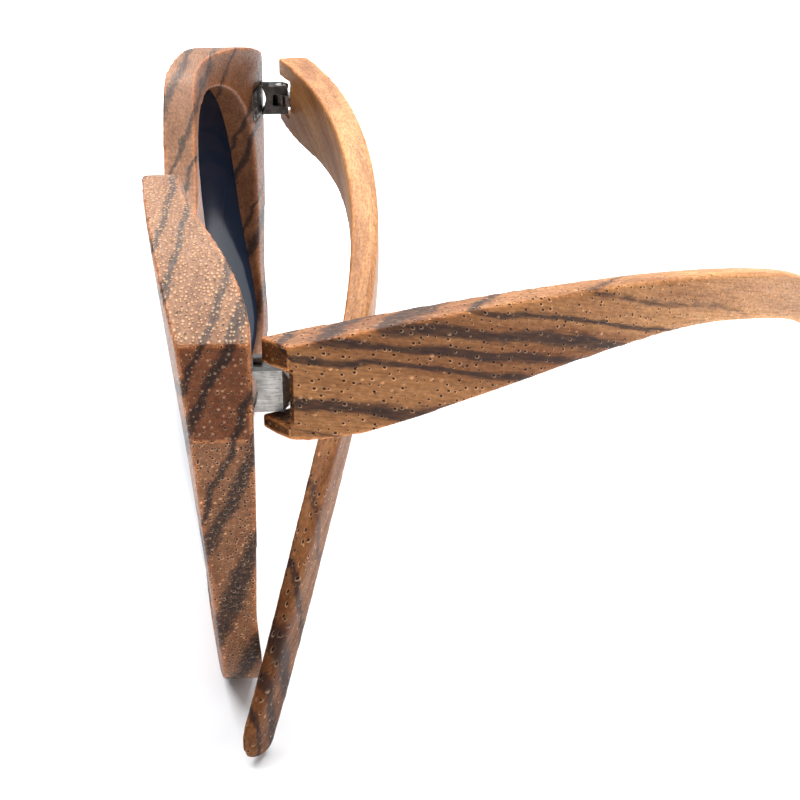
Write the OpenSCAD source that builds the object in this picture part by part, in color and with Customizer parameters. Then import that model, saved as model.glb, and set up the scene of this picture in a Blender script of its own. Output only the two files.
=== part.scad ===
// Wooden sunglasses with sprung hinges, standing on a table with the right temple folded
// and the left temple half open. Millimetres. X is the wearer's left, Y backwards, Z up.
// The origin is the middle of the nose saddle, under the bridge.

/* [Front] */
// Width over the two endpieces
front_w = 140; // [136:0.5:146]
// Width of one lens opening
lens_w = 50; // [47:0.5:52]
// Height of one lens opening
lens_h = 46.8; // [43:0.2:49]
// Gap between the two lens openings
bridge_w = 19.4; // [17:0.2:21]
// Height of the bridge over the nose saddle
bridge_h = 9.7; // [8:0.1:11]
// How far the top of the bridge lies under the top of the brow
brow_dip = 12.8; // [11:0.1:14]
// How far the brow stands over the top of the endpieces
brow_rise = 6.5; // [5:0.1:7.5]
// Width of the rim round a lens, seen from the front
rim_w = 4.8; // [4.2:0.1:5.4]
// Thickness of the rim and the bridge
front_t = 4.6; // [4.4:0.1:5.4]
// Radius of the front's curve round the face
wrap_r = 427; // [350:1:600]
// Lean of the front face, its foot drawn back
face_tilt = 6.2; // [4:0.1:8]
// Depth of an endpiece at its outer end
endpiece_t = 8; // [7.4:0.1:9]
// Height of an endpiece at its outer end
endpiece_h = 10.6; // [10:0.1:12]
// Where the thickening towards the endpiece starts, from its outer end
swell_l = 42.5; // [36:0.5:44]
// Radius of the arch over the nose
arch_r = 5.4; // [4.8:0.1:6]
// Radius of the carved nose pads
pad_r = 3.6; // [3:0.1:4]

/* [Lenses] */
// Thickness of a lens
lens_t = 1.8; // [1.6:0.1:2]
// Radius of a lens's front
lens_r = 132; // [125:1:145]
// How far a lens reaches into its groove
groove_d = 0.9; // [0.6:0.1:1.2]
// How far the middle of a lens stands out of the rim
lens_bulge = 1.1; // [0.9:0.1:1.2]
// Play between a lens and its groove
lens_play = 0.06; // [0.04:0.01:0.1]

/* [Temples] */
// Length along the top edge
temple_l = 155; // [150:0.5:160]
// Thickness at the hinge
temple_t = 4.6; // [4.4:0.1:5]
// Height near the hinge
temple_h = 11.8; // [11:0.1:12.6]
// Height behind the ear
temple_tip_h = 6.4; // [6:0.1:7]
// Where the height has run down to that of the tip
taper_end = 77; // [70:1:84]
// Radius of the bow in plan, along the inner face
bow_r = 204; // [195:1:240]
// How much smaller the radius of the outer face is, which thins the ear end
bow_thin = 8; // [4:0.5:9]
// Radius of the gentle droop, seen from the side
droop_r = 314; // [300:1:360]
// Where the bend for the ear starts
ear_start = 97; // [90:1:104]
// Length of the bend for the ear
ear_l = 39; // [34:1:44]
// Extra turn of the bend for the ear
ear_turn = 15; // [11:0.1:16]
// Mitre of the end that meets the endpiece
end_mitre = 11.3; // [8:0.1:14]
// How far the left temple is folded in
left_fold = 29.5; // [26:0.1:34]
// How far the right temple is folded in
right_fold = 72.2; // [70:0.1:74]

/* [Hinges] */
// Distance of the hinge screw from the endpiece's outer end
hinge_inset = 4.9; // [4.5:0.1:5.4]
// Distance of the hinge screw behind the endpiece
hinge_back = 3.2; // [3:0.05:3.6]
// Height of the hinge block
hinge_h = 4.6; // [4.2:0.1:5]
// Height of the sprung eye between the two fixed eyes
eye_h = 1.7; // [1.5:0.1:1.9]
// Radius of the eyes
eye_r = 1.45; // [1.35:0.05:1.5]
// Radius of the hinge screw
screw_r = 0.6; // [0.5:0.05:0.7]
// How deep the leaf is let into the endpiece
leaf_t = 2.2; // [2:0.1:2.6]
// Length of the leaf, from the hinge screw towards the nose
leaf_l = 6.4; // [6:0.1:7]
// Wood left outside the hinge slot
slot_wall = 0.85; // [0.7:0.05:1]
// Length of the spring box
box_l = 11.2; // [10:0.1:13]
// Width of the spring box, across the temple
box_w = 2.9; // [2.7:0.05:3]
// Height of the spring box
box_h = 4.8; // [4.4:0.1:5.4]
// Radius of the spring box's bore
bore_r = 1.15; // [1.05:0.05:1.2]
// Radius of the pull rod
rod_r = 0.45; // [0.4:0.05:0.5]
// Wire radius of the coil spring
wire_r = 0.16; // [0.12:0.01:0.18]
// Coils of the spring
coils = 8; // [6:1:10]

/* [Hidden] */
$fn = 96;
half_w = front_w / 2;
fit_gap = 0.03;            // glued and screwed seats
press_gap = 0.01;          // pressed and threaded seats
slide_gap = 0.05;          // moving metal faces
open_gap = 0.3;            // between the endpiece and an open temple
far = 60;                  // reach of cutting solids
over = 1;                  // how far a bore's cut runs past its mouth

// Front, heights
brow_z = bridge_h + brow_dip;
endpiece_z = brow_z - brow_rise;
lens_z = brow_z - rim_w - lens_h / 2;
hinge_z = endpiece_z - 0.6 * endpiece_h;
// Front, depths: the saddle's middle is Y = 0
hinge_y = front_t / 2 + half_w * half_w / (2 * wrap_r) + endpiece_t - front_t - endpiece_z * tan(face_tilt);
face_y = -front_t / 2;     // front face over the saddle
brow_out = bridge_w / 2 + lens_w / 2;   // the brow starts to fall over the middle of a lens
brow_flat = 5.5;           // and is level inwards of that
brow_in = brow_out - brow_flat;

// Outline of a lens: a rounded square drawn in towards its foot, more on the nose side
crown_power = 2.4;         // roundness of the upper corners
foot_power = 4;            // and of the lower ones
nose_taper = 0.24;
side_taper = 0.03;
lens_steps = 96;
function bent(v, n) = sign(v) * pow(abs(v), 2 / n);
function unit_pt(a) =
    let (n = a < 180 ? crown_power : foot_power, u = bent(cos(a), n), v = bent(sin(a), n))
    [u * (1 - (u < 0 ? nose_taper : side_taper) * (1 - v) / 2), v];
unit_outline = [for (i = [0:lens_steps - 1]) unit_pt((i + 0.5) * 360 / lens_steps)];
unit_xs = [for (p = unit_outline) p[0]];
lens_k = lens_w / (max(unit_xs) - min(unit_xs));
lens_x = bridge_w / 2 - lens_k * min(unit_xs);
lens_outline = [for (p = unit_outline) [lens_x + lens_k * p[0], lens_z + lens_h / 2 * p[1]]];

// An outline moved outwards by d
function grown(pts, d) =
    let (n = len(pts))
    [for (i = [0:n - 1])
        let (t = pts[(i + 1) % n] - pts[(i + n - 1) % n])
        pts[i] + d * [t[1], -t[0]] / norm(t)];

rim_outline = grown(lens_outline, rim_w);

// Top of the brow at x: a wave from the bridge to the peak, then a fall to the endpiece
function brow_at(x) =
    let (a = abs(x))
    a < brow_in ? brow_z - brow_dip * (1 + cos(180 * a / brow_in)) / 2
                : brow_z - brow_rise * pow(max(0, a - brow_out) / (half_w - brow_out), 2);

// Where a line from the endpiece's lower corner touches the rim
endpiece_foot = [half_w, endpiece_z - endpiece_h];
function lean(p) = atan2(p[0] - endpiece_foot[0], endpiece_foot[1] - p[1]);
lower_rim = [for (p = rim_outline) if (p[1] < endpiece_foot[1] && p[0] > lens_x) p];
touch_lean = max([for (p = lower_rim) lean(p)]);
rim_touch = [for (p = lower_rim) if (lean(p) == touch_lean) p][0];

// Hinge, in the temple's own frame: Z axis on the hinge screw, +Y along the temple, +X outwards
pivot = [half_w - hinge_inset, hinge_y + hinge_back, hinge_z];
temple_in = 0.3;           // inner face of the temple, outside the hinge screw
temple_end = (open_gap - hinge_back + temple_in * sin(end_mitre)) / cos(end_mitre);
eye_clear = 0.15;          // between the sprung eye and the block round it
block_in = eye_r + eye_clear;   // the fixed hinge block, inwards of the screw
web_t = 0.4;               // wall that closes the block's outer side
block_out = block_in + web_t;
eye_show = 0.25;           // the eye stands out of the block's back
block_back = eye_r - eye_show;
slot_out = temple_in + temple_t - slot_wall;
slot_clear = 0.3;          // over and under the hinge block
slot_h = hinge_h + 2 * slot_clear;
slot_end = 3.1;            // clear of the block's corners as it turns
shoulder_y = 2.2;
box_cover = 1;             // wood outside the spring box
box_out = temple_in + temple_t - box_cover;
rod_x = box_out - box_w / 2;
cap_l = 1;
box_floor = 0.6;
nut_l = 1.2;
bore_clear = 0.15;         // round the nut and the spring
nut_r = bore_r - bore_clear;
nut_room = 0.5;            // between the nut and the box's floor
nut_y = slot_end + box_l - box_floor - nut_l - nut_room;
spring_y = slot_end + cap_l;
spring_l = nut_y - spring_y;
coil_r = bore_r - wire_r - bore_clear;

wood = [0.62, 0.40, 0.24];
steel = [0.72, 0.72, 0.70];
tint = [0.10, 0.13, 0.20, 0.85];

// Shapes that both sides share

// A flat outline in X and Z, extruded along Y through the whole front
module through_y() translate([0, far / 2, 0]) rotate([90, 0, 0]) linear_extrude(far) children();

// Everything behind a face that follows the front's curve, d behind its front face
module behind_face(d) {
    translate([0, face_y + wrap_r / cos(face_tilt), 0]) rotate([face_tilt, 0, 0])
        cylinder(r = wrap_r - d, h = 4 * far, center = true, $fn = 360);
}

module both_sides() {
    children();
    mirror([1, 0, 0]) children();
}

// One half of the front's outline, from the middle of the brow round to the top of the arch
brow_steps = 40;
half_outline = concat(
    [for (i = [0:brow_steps - 1]) let (x = half_w * i / brow_steps) [x, brow_at(x)]],
    [[half_w, endpiece_z], endpiece_foot],
    [for (i = [lens_steps - 1:-1:0]) let (p = rim_outline[i])
        if (p[0] > lens_x ? p[1] <= rim_touch[1] : p[0] > arch_r && p[1] < -arch_r) p],
    [for (a = [0:10:90]) [arch_r * cos(a), arch_r * sin(a) - arch_r]]);
half_n = len(half_outline);
// Front view of the front, without the lens openings
module front_outline() {
    polygon(concat(half_outline,
        [for (i = [half_n - 2:-1:1]) [-half_outline[i][0], half_outline[i][1]]]));
}

// Plan of the swell from the thin rim to the thick endpiece
swell_from = half_w - swell_l;
swell_flat = 0.4;          // full depth at the outer end
swell_low = face_y + front_t + swell_from * swell_from / (2 * wrap_r) - brow_z * tan(face_tilt);
swell_steps = 24;
function swell_at(x) =
    let (u = min(1, (x - swell_from) / (swell_l - swell_flat)))
    swell_low + (hinge_y - swell_low) * u * u * (3 - 2 * u);
module swell() {
    translate([0, 0, -far]) linear_extrude(2 * far)
        polygon(concat(
            [for (i = [0:swell_steps]) let (x = swell_from + swell_l * i / swell_steps) [x, swell_at(x)]],
            [[half_w + swell_flat, hinge_y], [half_w + swell_flat, -far / 2], [swell_from, -far / 2]]));
}

// A carved nose pad along the nose side of a rim
pad_in = 3;                // the pad's top lies this far inside the lens opening's edge
pad_z = -9;                // its height over the nose saddle
pad_fall = 8.5;            // and it runs down
pad_spread = 3.6;          // and outwards by this
pad_top = [bridge_w / 2 - pad_in, pad_z];
pad_foot = pad_top + [pad_spread, -pad_fall];
function back_at(p) = face_y + front_t + p[0] * p[0] / (2 * wrap_r) - p[1] * tan(face_tilt);
module nose_pad() {
    a = [pad_top[0], back_at(pad_top), pad_top[1]];
    b = [pad_foot[0], back_at(pad_foot), pad_foot[1]];
    d = b - a;
    translate(a) sphere(pad_r, $fn = 48);
    translate(b) sphere(pad_r, $fn = 48);
    translate(a) rotate([0, acos(d[2] / norm(d)), atan2(d[1], d[0])])
        cylinder(r = pad_r, h = norm(d), $fn = 48);
}

// A curved lens, grown by play on its faces and by edge past the opening
lens_slope = [lens_x / wrap_r, -1, -tan(face_tilt)];
lens_out = lens_slope / norm(lens_slope);
lens_front = [lens_x, face_y + lens_x * lens_x / (2 * wrap_r) - lens_z * tan(face_tilt), lens_z];
lens_ball = lens_front + (lens_bulge - lens_r) * lens_out;
module lens_solid(edge, play) {
    intersection() {
        translate(lens_ball) difference() {
            sphere(lens_r + play, $fn = 180);
            sphere(lens_r - lens_t - play, $fn = 180);
        }
        translate([0, lens_front[1], 0]) through_y() polygon(grown(lens_outline, edge));
    }
}

// Puts a part of the left hinge or temple where it is
module at_pivot(fold) translate(pivot) rotate([0, 0, fold]) children();

// Leaf of the hinge: a plate let in flush with the endpiece's back, and a block with two eyes,
// closed outside
block_y = hinge_back + block_back;
module leaf_plate(gap) {
    translate([-leaf_l - gap, -hinge_back - leaf_t - gap, -hinge_h / 2 - gap])
        cube([leaf_l + block_out + 2 * gap, leaf_t + gap, hinge_h + 2 * gap]);
}
leaf_screw_edge = [1.6, 1.1];   // middle of a screw from the leaf's end and side
leaf_screw_x = -leaf_l + leaf_screw_edge[0];
leaf_screw_z = hinge_h / 2 - leaf_screw_edge[1];
leaf_sink = 0.2;                // a screw's head under the leaf's face
leaf_screw_y = swell_at(pivot[0] + leaf_screw_x) - pivot[1] - leaf_sink;
leaf_screw_r = 0.5;
leaf_screw_l = 5;
leaf_head_r = 0.9;
leaf_head_h = 0.6;
module leaf_screw(gap) {
    translate([leaf_screw_x, leaf_screw_y, 0]) rotate([90, 0, 0]) {
        cylinder(r = leaf_screw_r + gap, h = leaf_screw_l + gap, $fn = 32);
        cylinder(r1 = leaf_head_r + gap, r2 = leaf_screw_r + gap, h = leaf_head_h, $fn = 32);
        if (gap > 0) translate([0, 0, -over]) cylinder(r = leaf_head_r + gap, h = over, $fn = 32);
    }
}
module leaf_screw_pair(gap) {
    for (z = [-leaf_screw_z, leaf_screw_z]) translate([0, 0, z]) leaf_screw(gap);
}
notch_r = 4.2;
notch_d = 0.45;
tab = [1.1, 1, 0.6];
screw_fit = 0.02;
module hinge_leaf() {
    difference() {
        union() {
            intersection() {
                leaf_plate(0);
                translate(-pivot) swell();
            }
            difference() {
                translate([-block_in, -hinge_back - leaf_t, -hinge_h / 2])
                    cube([block_in + block_out, leaf_t + block_y, hinge_h]);
                translate([-far / 2, -hinge_back + notch_d - notch_r, 0]) rotate([0, 90, 0])
                    cylinder(r = notch_r, h = far);
            }
            translate([-block_in, -hinge_back, hinge_h / 2]) cube(tab);
        }
        translate([-far, -eye_r - eye_clear, -eye_h / 2 - slide_gap])
            cube([far + block_in, far, eye_h + 2 * slide_gap]);
        translate([0, 0, -hinge_h]) cylinder(r = screw_r + screw_fit, h = 2 * hinge_h, $fn = 48);
        translate([0, 0, hinge_h / 2 - head_h]) cylinder(r = head_r + fit_gap, h = far, $fn = 48);
        leaf_screw_pair(fit_gap);
    }
}

head_h = 0.5;
head_r = 1.05;
slot_cut = 0.25;
module hinge_screw() {
    difference() {
        union() {
            translate([0, 0, -hinge_h / 2]) cylinder(r = screw_r, h = hinge_h - head_h, $fn = 48);
            translate([0, 0, hinge_h / 2 - head_h]) cylinder(r = head_r, h = head_h, $fn = 48);
        }
        translate([-far / 2, -slot_cut / 2, hinge_h / 2 - slot_cut]) cube([far, slot_cut, far]);
    }
}

module leaf_screws() {
    difference() {
        leaf_screw_pair(0);
        for (z = [-leaf_screw_z, leaf_screw_z])
            translate([leaf_screw_x - far / 2, leaf_screw_y - slot_cut, z - slot_cut / 2])
                cube([far, far, slot_cut]);
    }
}

// The sprung half: an eye on a carriage, drawn back by a rod, a nut and a coil spring in a box
neck_in = 0.5;             // inner side of the neck behind the eye
neck_w = 1.75;
carriage_l = slot_end - slide_gap;
module hinge_carriage() {
    difference() {
        union() {
            cylinder(r = eye_r, h = eye_h, center = true, $fn = 48);
            translate([-neck_in, 0, -eye_h / 2]) cube([neck_w, carriage_l, eye_h]);
            translate([-neck_in, shoulder_y, -eye_h / 2])
                cube([rod_x + bore_r + neck_in, carriage_l - shoulder_y, eye_h]);
            translate([rod_x, shoulder_y, 0]) rotate([-90, 0, 0])
                cylinder(r = rod_r, h = nut_y + nut_l - shoulder_y, $fn = 32);
        }
        cylinder(r = screw_r + slide_gap, h = far, center = true, $fn = 48);
    }
}

module box_solid(gap) {
    translate([box_out - box_w - gap, slot_end - gap, -box_h / 2 - gap])
        cube([box_w + 2 * gap, box_l + 2 * gap, box_h + 2 * gap]);
}
module spring_box() {
    difference() {
        box_solid(0);
        translate([rod_x, slot_end - over, 0]) rotate([-90, 0, 0])
            cylinder(r = bore_r, h = box_l - box_floor + over, $fn = 48);
    }
}
module spring_cap() {
    translate([rod_x, slot_end, 0]) rotate([-90, 0, 0]) difference() {
        cylinder(r = bore_r - press_gap, h = cap_l, $fn = 48);
        translate([0, 0, -over]) cylinder(r = rod_r + slide_gap, h = cap_l + 2 * over, $fn = 32);
    }
}
module spring_nut() {
    translate([rod_x, nut_y, 0]) rotate([-90, 0, 0]) difference() {
        cylinder(r = nut_r, h = nut_l, $fn = 6);
        translate([0, 0, -over]) cylinder(r = rod_r + press_gap, h = nut_l + 2 * over, $fn = 32);
    }
}

// A round wire wound along +Y: rings of wire points along a helix, closed at both ends
coil_steps = 8;
wire_sides = 6;
wind_l = spring_l - 2 * wire_r - 2 * slide_gap;
wind_y = spring_y + slide_gap + wire_r;
function helix(i) =
    let (a = 360 * i / coil_steps)
    [rod_x + coil_r * cos(a), wind_y + wind_l * i / (coils * coil_steps), coil_r * sin(a)];
function wire_ring(i) =
    let (a = 360 * i / coil_steps, c = helix(i))
    [for (k = [0:wire_sides - 1])
        let (b = 360 * k / wire_sides)
        c + wire_r * [cos(b) * cos(a), sin(b), cos(b) * sin(a)]];
module coil_spring() {
    n = coils * coil_steps;
    m = wire_sides;
    points = [for (i = [0:n]) each wire_ring(i)];
    sides = [for (i = [0:n - 1], k = [0:m - 1])
        let (p = i * m + k, q = i * m + (k + 1) % m)
        each [[p, q, q + m], [p, q + m, p + m]]];
    ends = [for (k = [1:m - 2]) each [[0, k + 1, k], [n * m, n * m + k, n * m + k + 1]]];
    polyhedron(points, concat(sides, ends));
}

// Side view of a temple: droop, ear bend and tip as arcs of one curve, by the length s along its top
function turn_at(s) =
    s / droop_r * 180 / PI + ear_turn * max(0, min(1, (s - ear_start) / ear_l));
ear_r = 1 / (1 / droop_r + ear_turn * PI / 180 / ear_l);
function arc_end(p, r, a0, a1) = p + r * [sin(a1) - sin(a0), cos(a1) - cos(a0)];
ear_p = arc_end([0, 0], droop_r, 0, turn_at(ear_start));
tip_p = arc_end(ear_p, ear_r, turn_at(ear_start), turn_at(ear_start + ear_l));
function top_at(s) =
    s < ear_start ? arc_end([0, 0], droop_r, 0, turn_at(s))
    : s < ear_start + ear_l ? arc_end(ear_p, ear_r, turn_at(ear_start), turn_at(s))
    : arc_end(tip_p, droop_r, turn_at(ear_start + ear_l), turn_at(s));
taper_from = 5;
end_drop = 1.6;            // the lower edge rises a little to the hinge end
end_drop_l = 12;
function height_at(s) =
    let (u = max(0, min(1, (s - taper_from) / (taper_end - taper_from))),
         e = max(0, 1 - max(0, s) / end_drop_l))
    temple_h + (temple_tip_h - temple_h) * u * u * (3 - 2 * u) - end_drop * e * e;
function under_at(s) = top_at(s) - height_at(s) * [sin(turn_at(s)), cos(turn_at(s))];
tip_r = temple_tip_h / 2;
side_l = temple_l - tip_r;
side_steps = 44;
function tip_pt(b) =
    let (t = turn_at(side_l), c = (top_at(side_l) + under_at(side_l)) / 2)
    c + tip_r * [cos(b - t), sin(b - t)];
// A run along the bow, as a distance along the temple's own Y axis
function bowed(p) = [bow_r * sin(p[0] / bow_r * 180 / PI), p[1]];
temple_side = [for (p = concat(
    [for (i = [0:side_steps]) top_at(side_l * i / side_steps)],
    [for (b = [75:-15:-75]) tip_pt(b)],
    [for (i = [side_steps:-1:0]) under_at(side_l * i / side_steps)])) bowed(p)];

temple_drop = 0.3;         // top of the temple under the top of the endpiece
module temple() {
    difference() {
        intersection() {
            translate([-far, temple_end, endpiece_z - temple_drop - hinge_z]) rotate([90, 0, 90])
                linear_extrude(2 * far)
                    polygon(concat([[-temple_t, 0]], temple_side, [[-temple_t, -temple_h + end_drop]]));
            difference() {
                translate([temple_in + temple_t - bow_r + bow_thin, temple_end, 0])
                    cylinder(r = bow_r - bow_thin, h = 3 * far, center = true, $fn = 360);
                translate([temple_in - bow_r, temple_end, 0])
                    cylinder(r = bow_r, h = 4 * far, center = true, $fn = 360);
            }
            translate([temple_in, temple_end, 0]) rotate([0, 0, end_mitre])
                translate([-far, 0, -far]) cube([2 * far, 4 * far, 2 * far]);
        }
        translate([temple_in - far, -far, -slot_h / 2])
            cube([slot_out - temple_in + far, far + slot_end, slot_h]);
        box_solid(fit_gap);
    }
}

module front_frame() {
    color(wood) difference() {
        intersection() {
            through_y() front_outline();
            behind_face(0);
            union() {
                difference() {
                    translate([-far * 2, -far, -far]) cube([far * 4, far * 2, far * 2]);
                    behind_face(front_t);
                }
                both_sides() {
                    swell();
                    nose_pad();
                }
            }
        }
        both_sides() {
            through_y() polygon(lens_outline);
            lens_solid(groove_d + lens_play, lens_play);
            at_pivot(0) {
                leaf_plate(fit_gap);
                leaf_screw_pair(fit_gap);
            }
        }
    }
}

module left_lens() { color(tint) lens_solid(groove_d, 0); }
module left_temple() { color(wood) at_pivot(left_fold) temple(); }
module left_hinge_leaf() { color(steel) at_pivot(0) hinge_leaf(); }
module left_leaf_screws() { color(steel) at_pivot(0) leaf_screws(); }
module left_hinge_screw() { color(steel) at_pivot(0) hinge_screw(); }
module left_hinge_carriage() { color(steel) at_pivot(left_fold) hinge_carriage(); }
module left_spring_box() { color(steel) at_pivot(left_fold) spring_box(); }
module left_spring_cap() { color(steel) at_pivot(left_fold) spring_cap(); }
module left_coil_spring() { color(steel) at_pivot(left_fold) coil_spring(); }
module left_spring_nut() { color(steel) at_pivot(left_fold) spring_nut(); }

module right_lens() { color(tint) mirror([1, 0, 0]) lens_solid(groove_d, 0); }
module right_temple() { color(wood) mirror([1, 0, 0]) at_pivot(right_fold) temple(); }
module right_hinge_leaf() { color(steel) mirror([1, 0, 0]) at_pivot(0) hinge_leaf(); }
module right_leaf_screws() { color(steel) mirror([1, 0, 0]) at_pivot(0) leaf_screws(); }
module right_hinge_screw() { color(steel) mirror([1, 0, 0]) at_pivot(0) hinge_screw(); }
module right_hinge_carriage() { color(steel) mirror([1, 0, 0]) at_pivot(right_fold) hinge_carriage(); }
module right_spring_box() { color(steel) mirror([1, 0, 0]) at_pivot(right_fold) spring_box(); }
module right_spring_cap() { color(steel) mirror([1, 0, 0]) at_pivot(right_fold) spring_cap(); }
module right_coil_spring() { color(steel) mirror([1, 0, 0]) at_pivot(right_fold) coil_spring(); }
module right_spring_nut() { color(steel) mirror([1, 0, 0]) at_pivot(right_fold) spring_nut(); }

front_frame();
left_lens();
right_lens();
left_temple();
left_hinge_leaf();
left_leaf_screws();
left_hinge_screw();
left_hinge_carriage();
left_spring_box();
left_spring_cap();
left_coil_spring();
left_spring_nut();
right_temple();
right_hinge_leaf();
right_leaf_screws();
right_hinge_screw();
right_hinge_carriage();
right_spring_box();
right_spring_cap();
right_coil_spring();
right_spring_nut();
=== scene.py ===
import math

import bmesh
import bpy
from mathutils import Matrix, Vector
from mathutils.bvhtree import BVHTree


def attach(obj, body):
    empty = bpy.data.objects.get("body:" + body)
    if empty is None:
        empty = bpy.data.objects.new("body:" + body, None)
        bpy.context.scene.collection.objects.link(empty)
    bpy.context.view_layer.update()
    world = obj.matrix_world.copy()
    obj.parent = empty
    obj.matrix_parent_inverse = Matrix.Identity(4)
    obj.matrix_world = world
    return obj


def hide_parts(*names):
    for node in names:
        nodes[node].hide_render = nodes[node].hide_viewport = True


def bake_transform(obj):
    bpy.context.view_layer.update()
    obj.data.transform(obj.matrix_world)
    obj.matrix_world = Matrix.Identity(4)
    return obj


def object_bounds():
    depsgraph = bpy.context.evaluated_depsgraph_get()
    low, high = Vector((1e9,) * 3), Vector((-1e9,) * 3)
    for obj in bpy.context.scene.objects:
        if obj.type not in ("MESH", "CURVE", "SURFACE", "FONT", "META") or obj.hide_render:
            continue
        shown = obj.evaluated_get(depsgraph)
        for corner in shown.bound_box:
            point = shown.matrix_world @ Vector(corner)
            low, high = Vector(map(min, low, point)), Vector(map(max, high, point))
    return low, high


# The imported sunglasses: a wooden front, two lenses, two wooden temples and two sprung hinges.
# Everything is in metres, with the origin between the lenses, X to the wearer's left and Z up.
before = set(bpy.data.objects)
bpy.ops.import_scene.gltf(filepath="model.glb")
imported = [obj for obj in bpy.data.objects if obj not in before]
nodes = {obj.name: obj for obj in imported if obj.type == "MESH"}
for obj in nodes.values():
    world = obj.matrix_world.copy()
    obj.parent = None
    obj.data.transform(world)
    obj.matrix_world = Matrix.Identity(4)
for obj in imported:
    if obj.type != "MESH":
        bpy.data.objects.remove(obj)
cad_low, cad_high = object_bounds()
MM = 0.001


# The white table that the sunglasses stand on, matt paper.
# The rims' lower edges and the temples' tips rest on it.
def new_piece(name, bm):
    """An object made of a bmesh, which is used up."""
    mesh = bpy.data.meshes.new(name)
    bm.to_mesh(mesh)
    bm.free()
    piece = bpy.data.objects.new(name, mesh)
    bpy.context.scene.collection.objects.link(piece)
    return piece


def new_material(name, values):
    """A material, with plain values on some of its shader's sockets."""
    material = bpy.data.materials.new(name)
    material.use_nodes = True
    for socket, value in values.items():
        material.node_tree.nodes["Principled BSDF"].inputs[socket].default_value = value
    return material


def dress(piece, material):
    """Gives a piece its one material."""
    piece.data.materials.clear()
    piece.data.materials.append(material)


table_reach = 3.0
bm = bmesh.new()
bmesh.ops.create_grid(bm, x_segments=1, y_segments=1, size=table_reach)
bmesh.ops.translate(bm, verts=bm.verts, vec=(0, 0, cad_low.z))
table = new_piece("table", bm)
dress(table, new_material("white_paper", {"Base Color": (0.92, 0.93, 0.95, 1), "Roughness": 0.9}))


# The light of a white tent: a wide cloth above and behind, a weaker one at the right, and a room
# that is pale at the back and dark behind the camera. The table throws much of it back up.
def put(tree, kind, feeds, **settings):
    """Adds a node to a tree, with its settings, and links or sets its inputs."""
    node = tree.nodes.new(kind)
    for key, value in settings.items():
        setattr(node, key, value)
    for key, value in feeds.items():
        if isinstance(value, bpy.types.NodeSocket):
            tree.links.new(value, node.inputs[key])
        else:
            node.inputs[key].default_value = value
    return node


def fade(tree, value, start, end, low=0.0, high=1.0):
    """A smooth step from low to high as value goes from start to end."""
    return put(tree, "ShaderNodeMapRange", {"Value": value, "From Min": start, "From Max": end,
                                            "To Min": low, "To Max": high},
               interpolation_type="SMOOTHSTEP").outputs["Result"]


def soft_box(name, place, aim, size, watts):
    """A square soft light at place, turned towards aim."""
    light = bpy.data.lights.new(name, "AREA")
    light.shape = "SQUARE"
    light.size = size
    light.energy = watts
    lamp = bpy.data.objects.new(name, light)
    lamp.location = place
    lamp.rotation_euler = (Vector(aim) - Vector(place)).to_track_quat("-Z", "Y").to_euler()
    bpy.context.scene.collection.objects.link(lamp)


back_wall = 0.6
behind_camera = 0.08
world = bpy.data.worlds.new("pale_room")
world.use_nodes = True
room = world.node_tree
looking = put(room, "ShaderNodeTexCoord", {}).outputs["Generated"]
across_room = put(room, "ShaderNodeSeparateXYZ", {"Vector": looking}).outputs["X"]
backdrop = room.nodes["Background"].inputs
backdrop["Color"].default_value = (0.96, 0.98, 1.0, 1)
room.links.new(fade(room, across_room, -0.3, 0.6, back_wall, behind_camera), backdrop["Strength"])
bpy.context.scene.world = world
bpy.context.scene.view_settings.view_transform = "Standard"
bpy.context.scene.view_settings.look = "None"
soft_box("top_cloth", place=(-0.45, -0.02, 0.8), aim=(-0.1, 0.03, 0), size=1.4, watts=32.0)
soft_box("right_cloth", place=(0.1, 0.8, 0.4), aim=(0.03, 0.03, 0), size=0.7, watts=2.0)

# The camera at the photograph's place: at the wearer's left, a little above and close.
# Its pitch, turn and roll were solved from the edges of both halves of the front.
camera_at = Vector((0.273235, 0.014735, 0.090103))
camera_pitch = 0.377332
camera_turn = 0.050639
camera_roll = -0.0061207
forward = Vector((-math.cos(camera_pitch) * math.cos(camera_turn),
                  math.cos(camera_pitch) * math.sin(camera_turn),
                  -math.sin(camera_pitch)))
level_right = forward.cross(Vector((0, 0, 1))).normalized()
level_up = level_right.cross(forward)
camera_right = math.cos(camera_roll) * level_right + math.sin(camera_roll) * level_up
camera_up = math.cos(camera_roll) * level_up - math.sin(camera_roll) * level_right
camera_data = bpy.data.cameras.new("camera")
camera_data.sensor_width = 36
camera_data.lens = 94.28
camera_data.clip_start = 0.01
camera = bpy.data.objects.new("camera", camera_data)
camera.matrix_world = Matrix((
    (camera_right.x, camera_up.x, -forward.x, camera_at.x),
    (camera_right.y, camera_up.y, -forward.y, camera_at.y),
    (camera_right.z, camera_up.z, -forward.z, camera_at.z),
    (0, 0, 0, 1)))
bpy.context.scene.collection.objects.link(camera)
bpy.context.scene.camera = camera


# Zebrawood, which the front and both temples are cut from: tan layers with dark wavy stripes.
# Open pores show on every cut face as pin holes with a pale, slightly proud lip, partly a painted highlight.
def math_of(tree, operation, a, b):
    """The result of one operation on two values, each a socket or a number."""
    return put(tree, "ShaderNodeMath", {0: a, 1: b}, operation=operation).outputs[0]


def times(tree, a, b):
    """The product of two values."""
    return math_of(tree, "MULTIPLY", a, b)


def from_half(tree, value, depth):
    """A noise's rise and fall about its middle, depth times as deep."""
    return times(tree, math_of(tree, "SUBTRACT", value, 0.5), depth)


def by_share(tree, share, none, full):
    """A value that goes from none to full as a share goes from 0 to 1."""
    return fade(tree, share, 0.0, 1.0, none, full)


def blend_colour(tree, factor, first, second, kind="MIX"):
    """Two colours mixed by a factor."""
    return put(tree, "ShaderNodeMix", {0: factor, 6: first, 7: second},
               data_type="RGBA", blend_type=kind).outputs[2]


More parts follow.
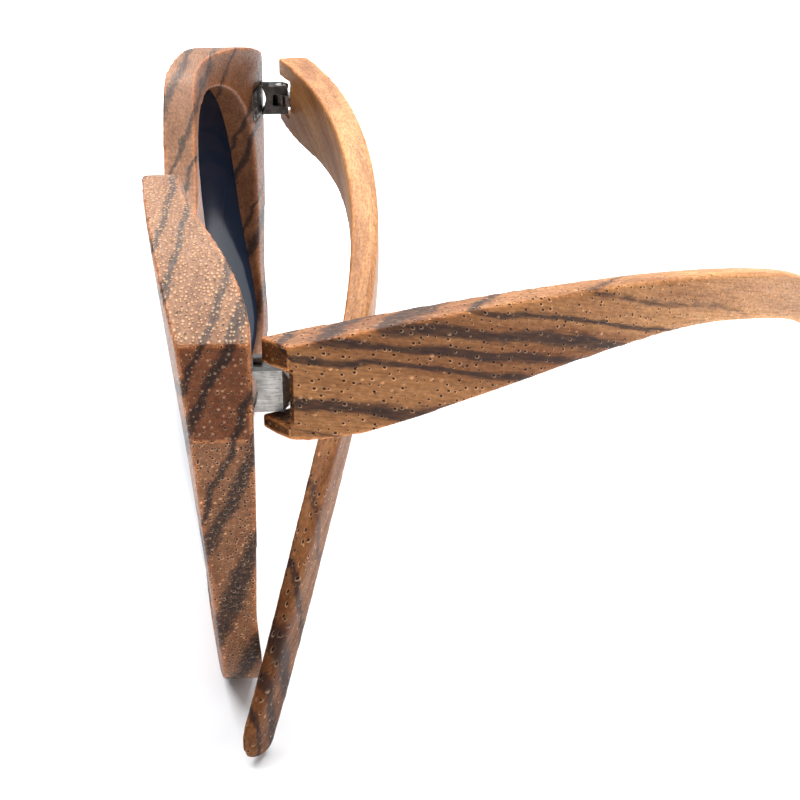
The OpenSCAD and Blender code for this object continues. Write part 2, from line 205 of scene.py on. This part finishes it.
def tinted(tree, share, colour, tint):
    """A colour, with a share of it multiplied by a tint."""
    return blend_colour(tree, share, colour, blend_colour(tree, 1.0, colour, tint, "MULTIPLY"))


def streaks(tree, board, sizes, detail):
    """Noise drawn out along a board: sizes are its lengths along it, through it and up it."""
    drawn = put(tree, "ShaderNodeVectorMath", {0: board, 1: sizes}, operation="DIVIDE").outputs["Vector"]
    return put(tree, "ShaderNodeTexNoise", {"Vector": drawn, "Scale": 1.0, "Detail": detail}).outputs["Fac"]


def new_group(name, inputs, outputs):
    """A shader node group, with the names and kinds of its inputs and outputs."""
    group = bpy.data.node_groups.new(name, "ShaderNodeTree")
    for sockets, way in ((inputs, "INPUT"), (outputs, "OUTPUT")):
        for label, kind in sockets.items():
            group.interface.new_socket(label, in_out=way, socket_type="NodeSocket" + kind)
    return group, group.nodes.new("NodeGroupInput").outputs, group.nodes.new("NodeGroupOutput").inputs


# The growth layers: flat through the board, with long, short and ragged waves, in millimetres.
layer_waves = (((30, 12, 12), 3.0), ((8, 3, 3), 1.7), ((1.8, 0.6, 0.6), 0.5))
layers, asked, given = new_group("zebra_layers", {"Board": "Vector", "Across": "Vector"}, {"Layer": "Float"})
layer = put(layers, "ShaderNodeVectorMath", {0: asked["Board"], 1: asked["Across"]},
            operation="DOT_PRODUCT").outputs["Value"]
for wave_sizes, wave_depth in layer_waves:
    wave = from_half(layers, streaks(layers, asked["Board"], wave_sizes, 2.0), wave_depth)
    layer = math_of(layers, "ADD", layer, wave)
layers.links.new(layer, given["Layer"])

# The pores, as spots on the face that is cut: long grain on sides and tops, round on end grain.
# Each has its own size, an open or filled hole, and a lip standing up on one side, painted paler there as a
# highlight.
pore_stretch = 0.7
end_turn = 0.72
lip_proud_lit_side = (0.6, -0.8, 0.0)
pores, asked, given = new_group(
    "pin_holes",
    {"Board": "Vector", "Facing": "Vector", "Gap": "Float", "Size": "Float", "Filled": "Float"},
    {"Lip": "Float", "Dome": "Float", "Hole": "Float"})


def cut_face(across, up):
    """A place on a cut face, from two of the board's directions."""
    return put(pores, "ShaderNodeCombineXYZ", {"X": across, "Y": up}).outputs["Vector"]


def chosen(choice, first, second):
    """One of two places: the second where choice is 1."""
    return put(pores, "ShaderNodeMix", {0: choice, 4: first, 5: second}, data_type="VECTOR").outputs[1]


spot = put(pores, "ShaderNodeSeparateXYZ", {"Vector": asked["Board"]}).outputs
turned = put(pores, "ShaderNodeVectorMath", {0: asked["Facing"]}, operation="ABSOLUTE").outputs["Vector"]
turned = put(pores, "ShaderNodeSeparateXYZ", {"Vector": turned}).outputs
along = times(pores, spot["X"], pore_stretch)
is_top = math_of(pores, "GREATER_THAN", turned["Z"], turned["Y"])
is_end = math_of(pores, "GREATER_THAN", turned["X"], end_turn)
cut = chosen(is_top, cut_face(along, spot["Z"]), cut_face(along, spot["Y"]))
cut = chosen(is_end, cut, cut_face(spot["Y"], spot["Z"]))
cell_scale = math_of(pores, "DIVIDE", 1.0, asked["Gap"])
cells = put(pores, "ShaderNodeTexVoronoi", {"Vector": cut, "Scale": cell_scale},
            voronoi_dimensions="2D").outputs
chance = put(pores, "ShaderNodeSeparateColor", {"Color": cells["Color"]}).outputs
own_size = times(pores, asked["Size"], by_share(pores, chance["Red"], 0.6, 1.2))
reach = math_of(pores, "DIVIDE", times(pores, cells["Distance"], asked["Gap"]), own_size)
from_middle = put(pores, "ShaderNodeVectorMath", {0: cut, 1: cells["Position"]},
                  operation="SUBTRACT").outputs["Vector"]
lean = put(pores, "ShaderNodeVectorMath", {0: from_middle, 1: lip_proud_lit_side},
           operation="DOT_PRODUCT").outputs["Value"]
lean = math_of(pores, "DIVIDE", lean, own_size)
lip = times(pores, fade(pores, reach, 1.2, 0.75), fade(pores, chance["Blue"], 0.1, 0.9, 0.25, 1.0))
lip = times(pores, lip, fade(pores, lean, -0.6, 0.6, 0.1, 1.0))
is_filled = math_of(pores, "LESS_THAN", chance["Green"], asked["Filled"])
hole = times(pores, fade(pores, reach, 0.64, 0.42), math_of(pores, "SUBTRACT", 1.0, is_filled))
pores.links.new(lip, given["Lip"])
pores.links.new(fade(pores, reach, 1.1, 0.1), given["Dome"])
pores.links.new(hole, given["Hole"])

# The finish of a board, from its stripes, its warm and pale zones and its tone along its length.
# Upward faces, where the grain stands proud, get a painted highlight; the rest of such a board a painted
# shade.
finish, asked, given = new_group(
    "zebra_finish",
    {"Board": "Vector", "Facing": "Vector", "Edge": "Float", "Stripe": "Float", "Tone": "Float",
     "Warmth": "Float", "Pored": "Float", "Light": "Color", "Warm": "Color", "Dark": "Color", "End": "Color",
     "Pore Gap": "Float", "Pore Size": "Float", "Lips": "Float", "Raised Lit Top": "Float"},
    {"Color": "Color", "Roughness": "Float", "Height": "Float"})
broad = streaks(finish, asked["Board"], (24, 1.8, 1.8), 4.0)
fine = streaks(finish, asked["Board"], (5, 0.22, 0.22), 3.0)
flecks = streaks(finish, asked["Board"], (2.4, 0.5, 0.5), 2.0)
grain = streaks(finish, asked["Board"], (0.8, 0.35, 0.35), 3.0)
facing = put(finish, "ShaderNodeSeparateXYZ", {"Vector": asked["Facing"]}).outputs
raised_lit_top = times(finish, asked["Raised Lit Top"], fade(finish, facing["Z"], 0.6, 0.85))
shaded = math_of(finish, "SUBTRACT", asked["Raised Lit Top"], raised_lit_top)
end_grain = fade(finish, math_of(finish, "ABSOLUTE", facing["X"], 0.0), 0.95, 0.985)

# Plain wood: darker tones are redder, since their green and blue fall faster than their red.
broad_warmth = 1.6
green_fall = 1.22
blue_fall = 1.35
dark_line = (0.6, 0.5, 0.42, 1)
warmth = math_of(finish, "ADD", asked["Warmth"], times(finish, broad, broad_warmth))
wood = blend_colour(finish, fade(finish, warmth, 0.6, 1.6), asked["Light"], asked["Warm"])
toned = put(finish, "ShaderNodeCombineColor",
            {"Red": asked["Tone"], "Green": math_of(finish, "POWER", asked["Tone"], green_fall),
             "Blue": math_of(finish, "POWER", asked["Tone"], blue_fall)}).outputs["Color"]
wood = blend_colour(finish, 1.0, wood, toned, "MULTIPLY")
wood = blend_colour(finish, 1.0, wood, fade(finish, grain, 0.3, 0.7, 0.78, 1.2), "MULTIPLY")
wood = tinted(finish, fade(finish, fine, 0.46, 0.7, 0.0, 0.5), wood, dark_line)

# Stripes with ragged sides, a little paler in flecks, and paler on upward faces as a painted highlight.
ragged = math_of(finish, "ADD", from_half(finish, flecks, 0.7), from_half(finish, fine, 0.3))
veil = fade(finish, math_of(finish, "ADD", asked["Stripe"], ragged), 0.2, 0.7)
veil = times(finish, veil, fade(finish, asked["Stripe"], 0.02, 0.2))
veil = times(finish, veil, fade(finish, flecks, 0.35, 0.65, 0.98, 0.78))
veil = times(finish, veil, by_share(finish, raised_lit_top, 1.0, 0.92))
wood = blend_colour(finish, veil, wood, asked["Dark"])

# End grain is darker, sides not facing up get a painted shade, edges a pale mark of wear and painted
# highlight.
side_shade_tint = (0.87, 0.8, 0.77, 1)
worn_and_highlit_edge_tint = (2.2, 1.9, 1.6, 1)
worn_and_highlit_edge_share = 0.75
wood = tinted(finish, end_grain, wood, asked["End"])
wood = tinted(finish, shaded, wood, side_shade_tint)
wood = tinted(finish, times(finish, asked["Edge"], worn_and_highlit_edge_share), wood, worn_and_highlit_edge_tint)

# Pores: closer and mostly filled where the grain stands proud on upward faces, and at one gap on all end
# grain.
# Their pale lips and domes there and on end grain are partly the wood's own, partly a painted highlight.
end_gap = 0.68
end_filled = 0.4
end_dome = 0.5
plain_filled = 0.16
raised_filled = 0.92
pale_least = 0.4
pale_more = 0.25
lip_pale_and_highlight_tint = (2.6, 2.45, 2.3, 1)
lip_wood = (0.62, 0.41, 0.25, 1)
hole_dark = (0.008, 0.004, 0.003, 1)
hole_share = 0.94
gap = times(finish, asked["Pore Gap"], by_share(finish, raised_lit_top, 1.0, 0.92))
filled = by_share(finish, raised_lit_top, plain_filled, raised_filled)
filled = math_of(finish, "MAXIMUM", filled, times(finish, end_grain, end_filled))
pinned = put(finish, "ShaderNodeGroup",
             {"Board": asked["Board"], "Facing": asked["Facing"], "Filled": filled,
              "Gap": by_share(finish, end_grain, gap, end_gap),
              "Size": times(finish, asked["Pore Size"], by_share(finish, raised_lit_top, 1.0, 1.1))},
             node_tree=pores).outputs
domed = math_of(finish, "MAXIMUM", raised_lit_top, times(finish, end_grain, end_dome))
lip = put(finish, "ShaderNodeMix", {0: domed, 2: pinned["Lip"], 3: pinned["Dome"]}).outputs[0]
lip = times(finish, lip, asked["Pored"])
hole = times(finish, pinned["Hole"], asked["Pored"])
pale_share = times(finish, math_of(finish, "MAXIMUM", end_grain, raised_lit_top), pale_more)
pale_share = math_of(finish, "ADD", pale_least, pale_share)
pale = blend_colour(finish, pale_share, blend_colour(finish, 1.0, wood, lip_pale_and_highlight_tint, "MULTIPLY"), lip_wood)
lips = times(finish, asked["Lips"], by_share(finish, raised_lit_top, 1.0, 0.6))
lips = times(finish, lips, by_share(finish, end_grain, 1.0, 0.55))
wood = blend_colour(finish, times(finish, lip, lips), wood, pale)
wood = blend_colour(finish, times(finish, hole, hole_share), wood, hole_dark)
finish.links.new(wood, given["Color"])

# A satin oil finish that is smoother on the lips, over holes, lips and fine lines in relief.
lip_gloss = 0.16
hole_depth = 2.2
line_depth = 0.7
satin = fade(finish, fine, 0.3, 0.7, 0.36, 0.54)
satin = math_of(finish, "SUBTRACT", satin, times(finish, lip, lip_gloss))
finish.links.new(satin, given["Roughness"])
relief = times(finish, lip, by_share(finish, raised_lit_top, 1.0, 2.0))
relief = math_of(finish, "SUBTRACT", relief, times(finish, hole, hole_depth))
relief = math_of(finish, "ADD", relief, times(finish, fine, line_depth))
finish.links.new(relief, given["Height"])


def ramp_of(tree, value, stops):
    """A colour that changes with a value, through stops of (value, colour)."""
    first = stops[0][0]
    last = stops[-1][0]
    share = put(tree, "ShaderNodeMapRange", {"Value": value, "From Min": first, "From Max": last})
    ramp = put(tree, "ShaderNodeValToRGB", {"Fac": share.outputs["Result"]})
    elements = ramp.color_ramp.elements
    elements[0].color = (*stops[0][1], 1)
    elements[1].color = (*stops[-1][1], 1)
    for place, colour in stops[1:-1]:
        elements.new((place - first) / (last - first)).color = (*colour, 1)
    return ramp.outputs["Color"]


def zebrawood(name, across, stripes, zones, tones, colours, pore_gap, pore_size, lips, raised_lit_top, sheen):
    """A board of zebrawood. across is square to its layers, stripes are (place, width, depth of colour),
    zones are (place, warmth), tones are (place along the board, lightness, how much of the stripes and of
    the pores shows), and colours are light, warm and dark wood and the tint of end grain."""
    stripe_flank = 0.9
    margin = 2.0
    relief_height = 0.07 * MM
    material = new_material(name, {"Specular IOR Level": sheen})
    tree = material.node_tree
    place, facing = (put(tree, "ShaderNodeAttribute", {}, attribute_name=mark).outputs["Vector"]
                     for mark in ("board", "facing"))
    edge, lift = (put(tree, "ShaderNodeAttribute", {}, attribute_name=mark).outputs["Fac"]
                  for mark in ("edge", "lift"))
    layer = put(tree, "ShaderNodeGroup", {"Board": place, "Across": across}, node_tree=layers)
    layer = math_of(tree, "ADD", layer.outputs["Layer"], lift)
    bands = [(stripes[0][0] - stripes[0][1] - margin, (0, 0, 0))]
    for middle, width, depth in stripes:
        flank = stripe_flank * width
        bands += [(middle - flank, (0, 0, 0)), (middle, (depth, depth, depth)), (middle + flank, (0, 0, 0))]
    bands.append((stripes[-1][0] + stripes[-1][1] + margin, (0, 0, 0)))
    run = put(tree, "ShaderNodeSeparateXYZ", {"Vector": place}).outputs["X"]
    tone = ramp_of(tree, run, [(spot, shares) for spot, *shares in tones])
    tone = put(tree, "ShaderNodeSeparateColor", {"Color": tone}).outputs
    light, warm, dark, end = ((*colour, 1) for colour in colours)
    look = put(tree, "ShaderNodeGroup",
               {"Board": place, "Facing": facing, "Edge": edge,
                "Stripe": times(tree, ramp_of(tree, layer, bands), tone["Green"]),
                "Tone": tone["Red"], "Pored": tone["Blue"],
                "Warmth": ramp_of(tree, layer, [(spot, (warmth,) * 3) for spot, warmth in zones]),
                "Light": light, "Warm": warm, "Dark": dark, "End": end,
                "Pore Gap": pore_gap, "Pore Size": pore_size, "Lips": lips, "Raised Lit Top": raised_lit_top},
               node_tree=finish).outputs
    bump = put(tree, "ShaderNodeBump",
               {"Height": look["Height"], "Distance": relief_height, "Strength": 1.0})
    shader = tree.nodes["Principled BSDF"].inputs
    tree.links.new(look["Color"], shader["Base Color"])
    tree.links.new(look["Roughness"], shader["Roughness"])
    tree.links.new(bump.outputs["Normal"], shader["Normal"])
    return material


# The front, carved from one board: arched brow, bridge, rims, endpieces and nose pads.
# Its edges are sanded round by hand, and its lenses are pressed into grooves round the openings.
def merged_copy(node):
    """A bmesh of a solid's surface, with its loose triangles joined."""
    weld = 0.002 * MM
    bm = bmesh.new()
    bm.from_mesh(node.data)
    bmesh.ops.remove_doubles(bm, verts=bm.verts, dist=weld)
    return bm


def close_groove(bm, lens):
    """Closes the groove that a lens sits in, so that the opening's wall is one plain face."""
    groove_play = 0.12 * MM
    lens_skin = BVHTree.FromPolygons([v.co for v in lens.data.vertices],
                                     [p.vertices[:] for p in lens.data.polygons])
    near = {v for v in bm.verts if lens_skin.find_nearest(v.co, groove_play)[0] is not None}
    groove = [f for f in bm.faces if all(v in near for v in f.verts)]
    bmesh.ops.delete(bm, geom=groove, context="FACES")
    bmesh.ops.bridge_loops(bm, edges=[e for e in bm.edges if e.is_boundary])


def apply_modifiers(piece):
    """Keeps what the modifiers make as the piece's own mesh."""
    bpy.context.view_layer.update()
    made = piece.evaluated_get(bpy.context.evaluated_depsgraph_get())
    done = bpy.data.meshes.new_from_object(made)
    done.name = piece.name
    piece.modifiers.clear()
    piece.data = done


def smooth_faces(piece):
    """Shades a piece as one smooth surface."""
    for polygon in piece.data.polygons:
        polygon.use_smooth = True


def sanded(bm, name, voxel, passes, share_at):
    """A piece of a bmesh, with its edges sanded round. share_at says how much each point is sanded."""
    bmesh.ops.recalc_face_normals(bm, faces=bm.faces)
    piece = new_piece(name, bm)
    skin = piece.modifiers.new("skin", "REMESH")
    skin.mode = "VOXEL"
    skin.voxel_size = voxel
    apply_modifiers(piece)
    shares = piece.vertex_groups.new(name="sanded")
    for v in piece.data.vertices:
        shares.add([v.index], share_at(v.co), "REPLACE")
    sand = piece.modifiers.new("sand", "SMOOTH")
    sand.factor = 0.5
    sand.iterations = passes
    sand.vertex_group = shares.name
    apply_modifiers(piece)
    piece.vertex_groups.clear()
    smooth_faces(piece)
    return piece


def nowhere(co):
    """No lift, or no pale edge, at any point."""
    return 0.0


def mark_board(piece, place_at, facing_at, lift_at=nowhere, pale_edge_at=nowhere):
    """Writes each vertex's place on its board in millimetres, how it faces there, how far its layers are
    lifted, and how sharp or worn its edge is; edges are painted pale, partly wear, partly a painted
    highlight."""
    crisp_from = 0.01
    crisp_span = 0.028
    bm = bmesh.new()
    bm.from_mesh(piece.data)
    places = [place_at(v.co) for v in bm.verts]
    turns = [facing_at(v.co, v.normal) for v in bm.verts]
    lifts = [lift_at(v.co) for v in bm.verts]
    edges = []
    for v in bm.verts:
        around = sum((e.other_vert(v).co for e in v.link_edges), Vector()) / len(v.link_edges)
        proud = (v.co - around).dot(v.normal) / MM
        edges.append(min(1.0, max(pale_edge_at(v.co), (proud - crisp_from) / crisp_span)))
    bm.free()
    for name, kind, field, values in (("board", "FLOAT_VECTOR", "vector", places),
                                      ("facing", "FLOAT_VECTOR", "vector", turns),
                                      ("lift", "FLOAT", "value", lifts),
                                      ("edge", "FLOAT", "value", edges)):
        piece.data.attributes.new(name, kind, "POINT")
        for entry, value in zip(piece.data.attributes[name].data, values):
            setattr(entry, field, value)


end_x = 66.0 * MM
end_sanding = 0.25
end_foot = 5.4
foot_pale_band = 0.17
long_grain = 0.93


def front_sanding(co):
    """The ends of the front are left crisper than its rims."""
    return end_sanding if abs(co.x) > end_x else 1.0


def front_facing(co, normal):
    """How the front faces: below the endpieces its sides count as long grain."""
    side = normal.x if co.z / MM > end_foot else max(-long_grain, min(long_grain, normal.x))
    return Vector((side, normal.y, normal.z))


def endpiece_foot(co):
    """The edge between an endpiece's end and the rim under it, painted pale: partly wear, partly a painted
    highlight.
    """
    return 1.0 if abs(co.x) > end_x and abs(co.z / MM - end_foot) < foot_pale_band else 0.0


bm = merged_copy(nodes["front_frame"])
close_groove(bm, nodes["left_lens"])
close_groove(bm, nodes["right_lens"])
front = sanded(bm, "front_wood", voxel=0.34 * MM, passes=9, share_at=front_sanding)
mark_board(front, lambda co: co / MM, front_facing, pale_edge_at=endpiece_foot)
front_stripes = (
    (-12.6, 1.6, 0.9), (-8.4, 0.8, 0.9), (-5.6, 0.8, 0.9), (0.9, 1.0, 0.9), (3.6, 1.3, 1.0),
    (8.2, 0.9, 0.9), (10.8, 2.0, 1.0), (16.4, 2.2, 1.0), (21.4, 2.0, 1.0), (25.6, 1.6, 1.0))
front_zones = ((-17, 0.3), (29, 0.3))
front_tones = (
    (-70, 0.72, 0.75, 0.0), (-40, 0.92, 0.85, 0.0), (10, 1.04, 1.0, 0.2), (35, 1.0, 1.0, 0.9),
    (70, 1.0, 1.0, 1.0))
front_colours = ((0.315, 0.15, 0.07), (0.2, 0.08, 0.031), (0.022, 0.012, 0.01), (0.78, 0.58, 0.45))
dress(front, zebrawood(
    "front_zebrawood", (0.043, 1.0, -0.434), front_stripes, front_zones, front_tones, front_colours,
    pore_gap=0.53, pore_size=0.19, lips=1.7, raised_lit_top=1.0, sheen=0.17))
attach(front, "front")
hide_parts("front_frame")

# The two lenses, moulded in a dark blue-grey tint and polished on both faces.
# They are pressed into the grooves of the front.
lens_foot = -30 * MM
lens_top = 18 * MM
foot_tint = (0.012, 0.019, 0.035, 1)
top_tint = (0.004, 0.007, 0.015, 1)
front_coat = 1.0
back_coat = 0.18
tint = new_material("lens_tint", {"Roughness": 0.05, "Specular IOR Level": 0.0, "Coat Roughness": 0.09,
                                  "Coat Tint": (0.78, 0.9, 1.0, 1)})
tint_tree = tint.node_tree
tint_shader = tint_tree.nodes["Principled BSDF"].inputs
lens_place = put(tint_tree, "ShaderNodeTexCoord", {}).outputs
lens_up = put(tint_tree, "ShaderNodeSeparateXYZ", {"Vector": lens_place["Object"]}).outputs["Z"]
lens_back = put(tint_tree, "ShaderNodeSeparateXYZ", {"Vector": lens_place["Normal"]}).outputs["Y"]
lens_colour = blend_colour(tint_tree, fade(tint_tree, lens_up, lens_foot, lens_top), foot_tint, top_tint)
tint_tree.links.new(lens_colour, tint_shader["Base Color"])
tint_tree.links.new(fade(tint_tree, lens_back, -0.2, 0.2, front_coat, back_coat), tint_shader["Coat Weight"])
for name in ("left_lens", "right_lens"):
    dress(nodes[name], tint)

# The hinge leaves, stamped in nickel-plated steel and let into the back of the endpieces.
# Each has a block of two eyes for the hinge screw, dressed flat at its back and brushed.
cloud_size = 1.1 * MM
painted_shade_black = (0.012, 0.011, 0.01, 1)
brushing, asked, given = new_group(
    "metal_brushing",
    {"Place": "Vector", "Normal": "Vector", "Drawn": "Vector", "Clean": "Color", "Dull": "Color",
     "Smoothest": "Float", "Roughest": "Float", "Painted Flat Shade": "Float"},
    {"Color": "Color", "Roughness": "Float", "Height": "Float"})
marks = streaks(brushing, asked["Place"], asked["Drawn"], 4.0)
cloud = streaks(brushing, asked["Place"], (cloud_size, cloud_size, cloud_size), 2.0)
level = put(brushing, "ShaderNodeSeparateXYZ", {"Vector": asked["Normal"]}).outputs["Z"]
level = math_of(brushing, "ABSOLUTE", level, 0.0)
metal = blend_colour(brushing, fade(brushing, cloud, 0.3, 0.7), asked["Clean"], asked["Dull"])
# Upper and lower faces are painted black: a painted shade.
metal = blend_colour(brushing, fade(brushing, level, 0.6, 0.9, 0.0, asked["Painted Flat Shade"]), metal, painted_shade_black)
brushing.links.new(metal, given["Color"])
brushed = fade(brushing, marks, 0.3, 0.7, asked["Smoothest"], asked["Roughest"])
brushing.links.new(brushed, given["Roughness"])
brushing.links.new(math_of(brushing, "ADD", marks, cloud), given["Height"])


def brushed_metal(name, colour, rough, drawn, painted_flat_shade=0.0):
    """A metal with fine brush marks: drawn gives their size in metres along each axis, and the last argument
    how far its upper and lower faces are painted black, a painted shade."""
    dulled = 0.62
    smoother = 0.08
    rougher = 0.12
    mark_depth = 0.05 * MM
    material = new_material(name, {"Metallic": 1.0})
    tree = material.node_tree
    coordinates = put(tree, "ShaderNodeTexCoord", {}).outputs
    look = put(tree, "ShaderNodeGroup",
               {"Place": coordinates["Object"], "Normal": coordinates["Normal"], "Drawn": drawn,
                "Clean": (*colour, 1), "Dull": (*(dulled * part for part in colour), 1),
                "Smoothest": rough - smoother, "Roughest": rough + rougher, "Painted Flat Shade": painted_flat_shade},
               node_tree=brushing).outputs
    bump = put(tree, "ShaderNodeBump", {"Height": look["Height"], "Distance": mark_depth})
    shader = tree.nodes["Principled BSDF"].inputs
    tree.links.new(look["Color"], shader["Base Color"])
    tree.links.new(look["Roughness"], shader["Roughness"])
    tree.links.new(bump.outputs["Normal"], shader["Normal"])
    return material


leaf_marks = (0.9 * MM, 0.9 * MM, 0.12 * MM)
# The right leaf's nickel is a darker copy of the left's: a painted shade.
nickel = {"left": brushed_metal("brushed_nickel", (0.46, 0.43, 0.40), 0.38, leaf_marks, painted_flat_shade=1.0),
          "right": brushed_metal("painted_shade_nickel", (0.16, 0.15, 0.14), 0.5, leaf_marks, painted_flat_shade=1.0)}
# The left hinge's screw is at hinge_at, in millimetres, and the right one is its mirror.
hinge_at = Vector((65.1, 12.9, 9.64))
eye_back = 0.75
eye_dressed = 0.65
corner_back = -0.1
face_play = 0.02 * MM
for word in ("left", "right"):
    bm = merged_copy(nodes[word + "_hinge_leaf"])
    outer_face = max(abs(v.co.x) for v in bm.verts) - face_play
    for v in bm.verts:
        past = v.co.y / MM - hinge_at.y
        if abs(v.co.x) > outer_face and past > corner_back:
            v.co.y = (hinge_at.y + corner_back) * MM
        elif past > eye_back:
            v.co.y -= eye_dressed * (past - eye_back) * MM
    leaf = new_piece(word + "_leaf_metal", bm)
    dressed = leaf.modifiers.new("dressed", "BEVEL")
    dressed.width = 0.12 * MM
    dressed.segments = 2
    dressed.limit_method = "ANGLE"
    dress(leaf, nickel[word])
    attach(leaf, "front")
    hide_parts(word + "_hinge_leaf")

# The small pieces of each sprung hinge: screws, the sprung carriage with its rod, the box and its bush in
# turned or drawn steel, and the nut in brass. The box is glued in the temple, and the rod runs through it.
turned_marks = (0.2 * MM, 0.8 * MM, 0.2 * MM)
turned_steel = brushed_metal("turned_steel", (0.52, 0.51, 0.49), 0.32, turned_marks)
nut_brass = brushed_metal("nut_brass", (0.66, 0.46, 0.19), 0.3, turned_marks)
for word in ("left", "right"):
    for piece in ("leaf_screws", "hinge_screw", "hinge_carriage", "spring_box", "spring_cap"):
        dress(nodes[word + "_" + piece], turned_steel)
    dress(nodes[word + "_spring_nut"], nut_brass)

# The coil springs, wound from bright drawn wire. Each is held between the bush, which stays with the temple,
# and the nut on the rod, which stays with the carriage; the real one shortens as the temple is pulled off
# its stop.
wire = brushed_metal("spring_wire", (0.55, 0.55, 0.56), 0.25, (0.3 * MM, 0.3 * MM, 0.3 * MM))
for word in ("left", "right"):
    coil = new_piece(word + "_coil_wire", merged_copy(nodes[word + "_coil_spring"]))
    smooth_faces(coil)
    dress(coil, wire)
    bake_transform(coil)
    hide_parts(word + "_coil_spring")

# The two temples, sawn from the same wood as a matched pair, bowed and thinned to the ear.
# Their long edges are rounded almost to a bead, and their hinge ends are mitred and slotted.
bow_r = 204.0
temple_end = -2.9
temple_in = 0.3
grain_slope = 0.318
ear_start = 72.0
ear_blend = 25.0
end_share = 0.07
crisp_run = 4.0
rounding_run = 40.0


class TempleWood:
    """A temple's wood, from its hinge and on the flat board that it was bowed from, in millimetres."""

    def __init__(self, fold, side):
        self.side = side
        self.opening = Matrix.Rotation(math.radians(-fold), 3, "Z")
        self.folding = Matrix.Rotation(math.radians(fold), 3, "Z")
        self.tops = {}

    def opened(self, co):
        """A point's place from the hinge, with the temple open."""
        return self.opening @ (Vector((co.x * self.side, co.y, co.z)) / MM - hinge_at)

    def folded(self, out):
        """The point of the folded temple that an opened place belongs to."""
        back = (self.folding @ out + hinge_at) * MM
        return Vector((back.x * self.side, back.y, back.z))

    def bend(self, co):
        """How far round the bow a point is, in radians."""
        return math.asin(max(-1.0, min(1.0, (self.opened(co).y - temple_end) / bow_r)))

    def place(self, co):
        """A point's place along the board, through it and up it, where up follows the grain."""
        out = self.opened(co)
        bend = self.bend(co)
        inner = temple_in - bow_r * (1 - math.cos(bend))
        return Vector((bow_r * bend, out.x - inner, out.z + grain_slope * bow_r * bend))

    def facing(self, co, normal):
        """How a point faces on the board."""
        flat = self.opening @ Vector((normal.x * self.side, normal.y, normal.z))
        flat = Matrix.Rotation(-self.bend(co), 3, "Z") @ flat
        return Vector((flat.y, flat.x, flat.z))

    def sanding(self, co):
        """How much a point is sanded: the hinge end stays crisp."""
        return min(1.0, end_share + max(0.0, self.place(co).x - crisp_run) / rounding_run)

    def note_top(self, co):
        """Keeps the height of the top edge at each millimetre along the board."""
        along = math.floor(self.place(co).x)
        height = self.opened(co).z
        self.tops[along] = max(self.tops.get(along, height), height)

    def lift(self, co):
        """How far the layers are lifted: at the bent ear they follow its top edge."""
        run = self.place(co).x
        before = math.floor(run)
        top_edge = self.tops[before]
        top_edge += (run - before) * (self.tops.get(before + 1, top_edge) - top_edge)
        under_top = max(0.0, top_edge - self.opened(co).z)
        return min(1.0, max(0.0, (run - ear_start) / ear_blend)) * under_top


temple_stripes = (
    (-1.0, 0.6, 0.6), (2.5, 1.7, 1.0), (7.6, 0.8, 0.9), (9.8, 1.1, 0.95), (12.3, 1.7, 1.0),
    (15.2, 0.7, 0.9), (18.6, 0.9, 0.6))
temple_zones = (
    (-3.6, 0.0), (2.5, 0.3), (5.0, 0.0), (7.6, 0.35), (10.5, 0.55), (13.5, 0.35), (16.0, 0.1), (21.5, 0.2))
left_tones = (
    (0, 0.95, 1.0, 1.0), (45, 0.98, 1.0, 1.0), (70, 1.45, 0.8, 0.6), (100, 1.45, 0.6, 0.3),
    (125, 0.75, 1.0, 0.6), (150, 0.65, 1.0, 0.6))
right_tones = (
    (0, 1.4, 0.1, 0.0), (60, 1.5, 0.2, 0.05), (85, 1.1, 0.9, 0.4), (105, 0.85, 1.0, 0.8),
    (125, 0.6, 1.0, 1.0), (150, 0.6, 1.0, 1.0))
temple_colours = ((0.40, 0.182, 0.07), (0.2, 0.075, 0.027), (0.036, 0.018, 0.014), (0.3, 0.23, 0.18))
# The slot's sizes are from the hinge, with the temple open, in millimetres.
slot_top = 2.6
slot_play = 0.02
slot_run = 6.2
slot_rise = 0.6
slot_low = -2.7
slot_high = 3.3
slot_wall_in = 3.9
slot_wall_end = -1.55
for side, word, fold, tones in ((1, "left", 29.5, left_tones), (-1, "right", 72.2, right_tones)):
    temple_wood = TempleWood(fold, side)
    bm = merged_copy(nodes[word + "_temple"])
    for v in bm.verts:
        above_slot = v.co.z / MM - hinge_at.z - slot_top
        if abs(above_slot) < slot_play and temple_wood.place(v.co).x < slot_run:
            v.co.z += slot_rise * MM
    temple = sanded(bm, word + "_temple_wood", voxel=0.3 * MM, passes=50, share_at=temple_wood.sanding)
    for v in temple.data.vertices:
        out = temple_wood.opened(v.co)
        if out.x > slot_wall_in and out.y < slot_wall_end and slot_low < out.z < slot_high:
            v.co = temple_wood.folded(Vector((out.x, slot_wall_end, out.z)))
        temple_wood.note_top(v.co)
    mark_board(temple, temple_wood.place, temple_wood.facing, lift_at=temple_wood.lift)
    dress(temple, zebrawood(
        word + "_temple_zebrawood", (0.0, 0.52, 1.0), temple_stripes, temple_zones, tones, temple_colours,
        pore_gap=0.9, pore_size=0.22, lips=1.0, raised_lit_top=0.0, sheen=0.09))
    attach(temple, word + "_temple_body")
    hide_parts(word + "_temple")
